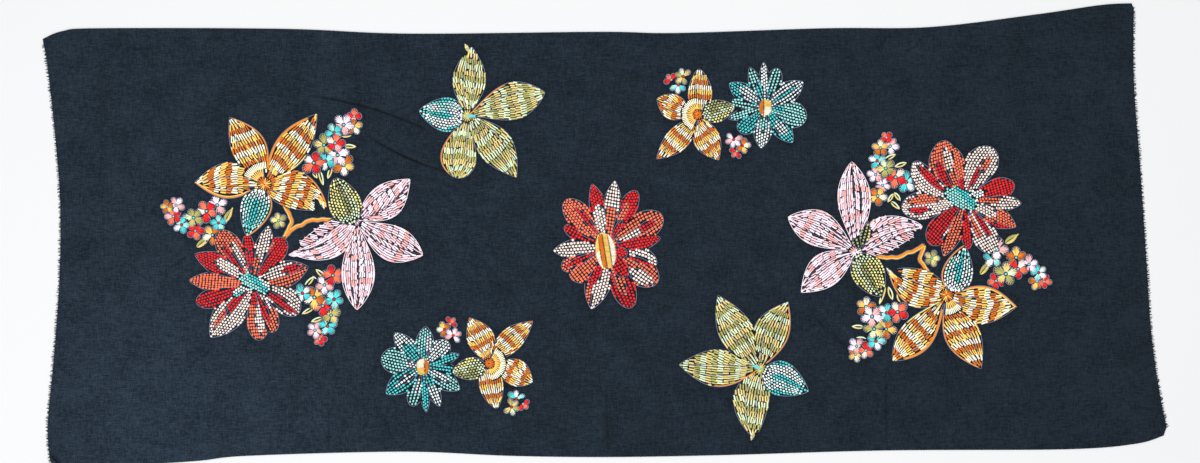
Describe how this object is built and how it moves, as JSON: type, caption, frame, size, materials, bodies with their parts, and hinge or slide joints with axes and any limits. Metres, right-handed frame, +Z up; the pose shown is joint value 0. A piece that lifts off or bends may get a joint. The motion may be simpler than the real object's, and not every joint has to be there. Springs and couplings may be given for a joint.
{
  "type": "embroidered wool shawl",
  "caption": "Long rectangular wool shawl laid flat, with floral thread embroidery on its face and a short cut fringe at each end.",
  "frame": {"origin": "middle of the shawl's length and width, on the underside that rests on the surface", "axes": "+X along the shawl's length, +Y across its width, +Z up out of its embroidered face"},
  "size_m": [1.8964, 0.7801, 0.0053],
  "materials": {
    "wool": "matt dark blue-black wool",
    "thread_red": "satin thread in reds, coral and pale pink",
    "thread_teal": "satin thread in teal and pale mint",
    "thread_gold": "satin thread in gold, amber and cream",
    "thread_pink": "satin thread in pale pinks",
    "thread_olive": "satin thread in olive and pale yellow-green",
    "thread_orange": "satin thread in orange and gold",
    "thread_mixed": "satin thread in many colours"
  },
  "bodies": {
    "root": {"cloth_panel": "wool", "fringe_west": "wool", "fringe_east": "wool", "teal_bud_west": "thread_teal", "olive_bud_west": "thread_olive", "gold_lily_west": "thread_gold", "pink_lily_west": "thread_pink", "red_dahlia_west": "thread_red", "stem_west": "thread_orange", "spray_tall_west": "thread_mixed", "spray_long_west": "thread_mixed", "spray_deep_west": "thread_mixed", "blossom_west": "thread_mixed", "teal_bud_east": "thread_teal", "olive_bud_east": "thread_olive", "gold_lily_east": "thread_gold", "pink_lily_east": "thread_pink", "red_dahlia_east": "thread_red", "stem_east": "thread_orange", "spray_tall_east": "thread_mixed", "spray_long_east": "thread_mixed", "spray_deep_east": "thread_mixed", "blossom_east": "thread_mixed", "teal_bud_northwest": "thread_teal", "olive_lily_northwest": "thread_olive", "teal_bud_southeast": "thread_teal", "olive_lily_southeast": "thread_olive", "olive_bud_northeast": "thread_olive", "gold_lily_northeast": "thread_gold", "teal_dahlia_northeast": "thread_teal", "trio_upper_northeast": "thread_mixed", "trio_lower_northeast": "thread_mixed", "olive_bud_southwest": "thread_olive", "gold_lily_southwest": "thread_gold", "teal_dahlia_southwest": "thread_teal", "trio_lower_southwest": "thread_mixed", "trio_upper_southwest": "thread_mixed", "red_dahlia_middle": "thread_red"}
  },
  "joints": []
}
